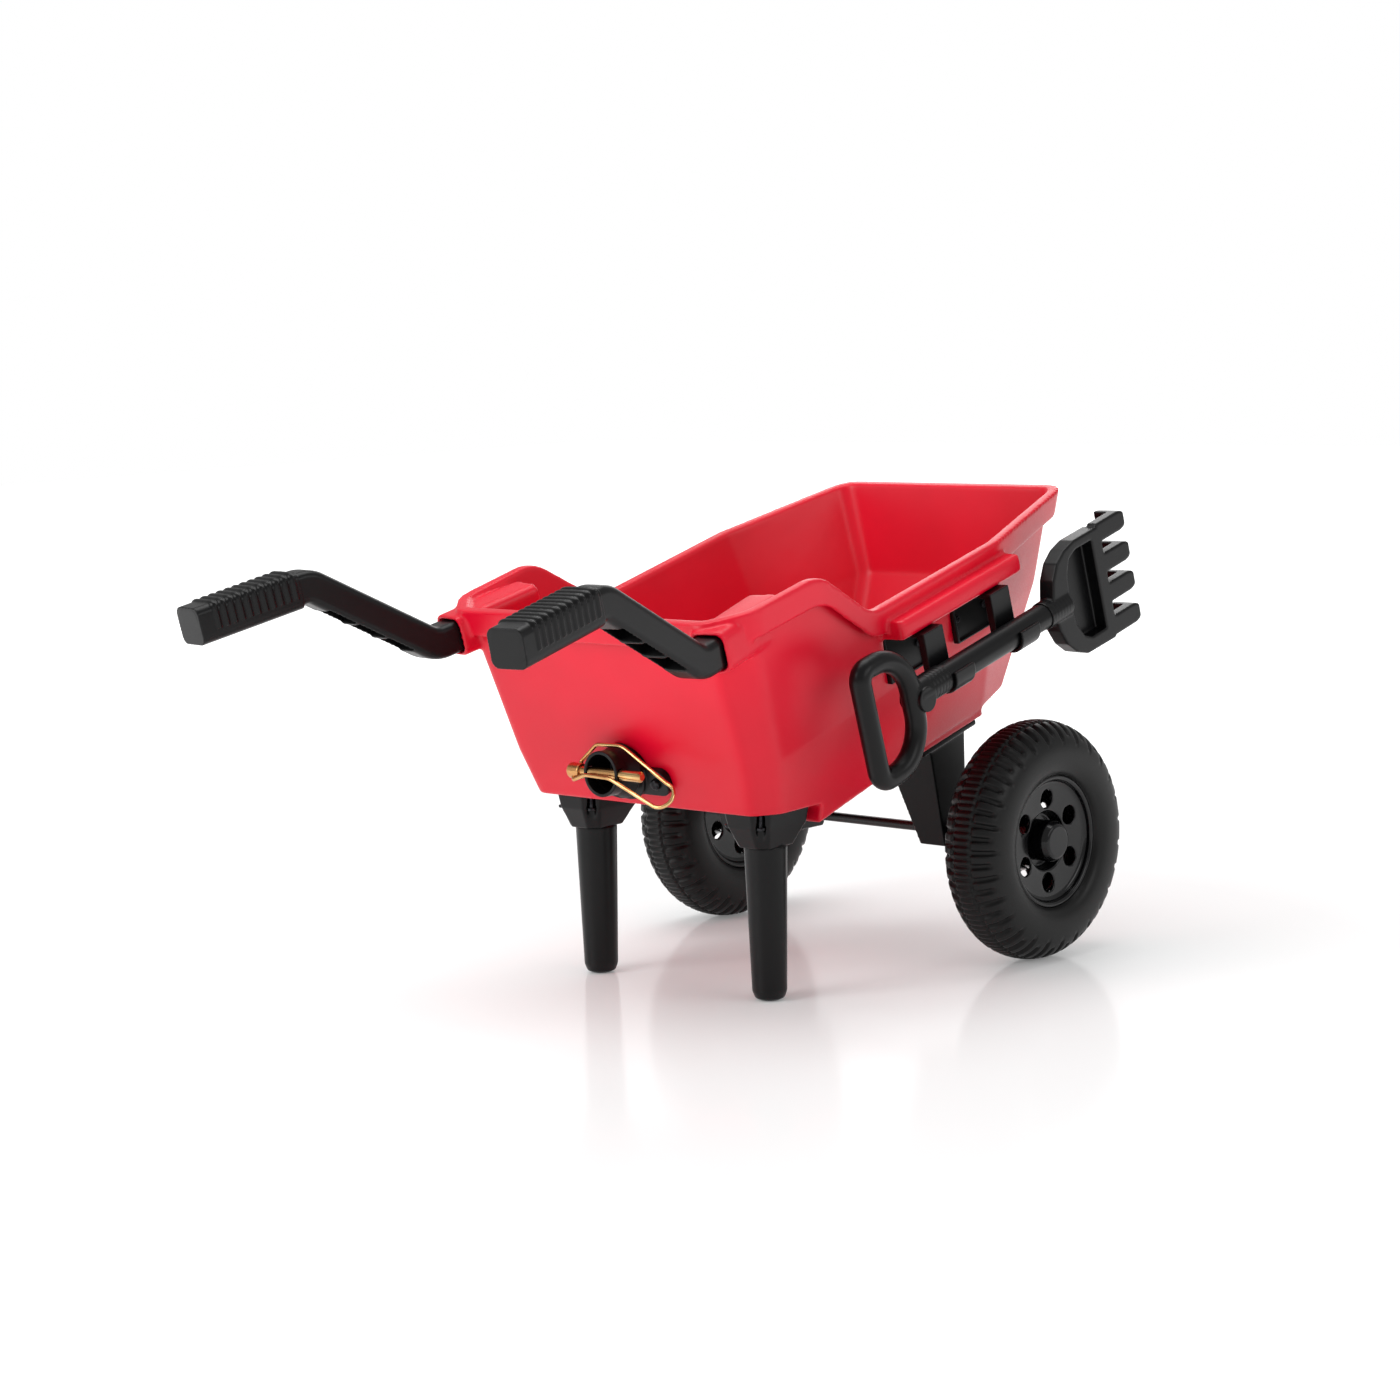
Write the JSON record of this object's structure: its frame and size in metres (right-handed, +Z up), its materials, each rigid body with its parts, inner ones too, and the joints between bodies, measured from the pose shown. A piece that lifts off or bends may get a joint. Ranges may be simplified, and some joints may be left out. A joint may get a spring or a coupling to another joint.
{
  "type": "wheelbarrow",
  "caption": "Child-size moulded wheelbarrow with two wheels, two legs, a tow socket with a pin and wire bail, and a rake clipped to its side.",
  "frame": {"origin": "on the floor, on the plane of symmetry, halfway along the overall length", "axes": "+X towards the wheels' end, +Y to the left (away from the rake), +Z up"},
  "size_m": [0.8766, 0.48, 0.4641],
  "materials": {
    "tub_red": "satin-gloss moulded red",
    "black_plastic": "satin moulded black",
    "disc_black": "gloss moulded black",
    "tyre_black": "moulded tread, matte",
    "axle_steel": "black paint on steel, satin",
    "zinc_steel": "bright zinc plate",
    "gold_zinc": "yellow zinc plate on steel"
  },
  "bodies": {
    "chassis": {"tub": "tub_red", "leg_left": "black_plastic", "leg_right": "black_plastic", "leg_socket_left": "black_plastic", "leg_socket_right": "black_plastic", "leg_socket_screws": "zinc_steel", "handle_left": "black_plastic", "handle_right": "black_plastic", "handle_screws": "zinc_steel", "tow_socket": "black_plastic", "tow_socket_bolts": "zinc_steel", "tow_socket_nuts": "zinc_steel", "axle_bracket_left": "black_plastic", "axle_bracket_right": "black_plastic", "bracket_screws": "zinc_steel", "axle": "axle_steel", "axle_spacer_left": "black_plastic", "axle_spacer_right": "black_plastic", "axle_washers": "zinc_steel", "axle_nuts": "zinc_steel", "tool_clip_front": "black_plastic", "tool_clip_rear": "black_plastic", "clip_screws": "zinc_steel"},
    "pin": {"hitch_pin": "gold_zinc"},
    "bail": {"pin_bail": "gold_zinc"},
    "rake": {"rake_shaft": "black_plastic", "rake_grip": "black_plastic", "rake_head": "black_plastic"},
    "wheel_left": {"tyre_left": "tyre_black", "wheel_disc_outer_left": "disc_black", "wheel_disc_inner_left": "disc_black", "hub_bush_left": "black_plastic", "hub_cap_left": "disc_black"},
    "wheel_right": {"tyre_right": "tyre_black", "wheel_disc_outer_right": "disc_black", "wheel_disc_inner_right": "disc_black", "hub_bush_right": "black_plastic", "hub_cap_right": "disc_black"}
  },
  "joints": [
    {"name": "wheel_left_spin", "type": "hinge", "parent": "chassis", "child": "wheel_left", "pos_m": [0.2821, 0.206, 0.12], "axis": [0, 1, 0], "continuous": true},
    {"name": "wheel_right_spin", "type": "hinge", "parent": "chassis", "child": "wheel_right", "pos_m": [0.2821, -0.206, 0.12], "axis": [0, 1, 0], "continuous": true},
    {"name": "pin_slide", "type": "slide", "parent": "chassis", "child": "pin", "axis": [0, 1, 0], "range_m": [0, 0.0752]},
    {"name": "bail_swing", "type": "hinge", "parent": "pin", "child": "bail", "pos_m": [-0.1134, 0.037, 0.222], "axis": [-0.6293, 0, -0.7771], "range_deg": [0, 110]},
    {"name": "rake_lift", "type": "slide", "parent": "chassis", "child": "rake", "axis": [-0.2639, 0, 0.9646], "range_m": [0, 0.25]}
  ],
  "couplings": [
    {"joint": "pin_slide", "follows": "bail_swing", "m_per_rad": 0.039}
  ]
}
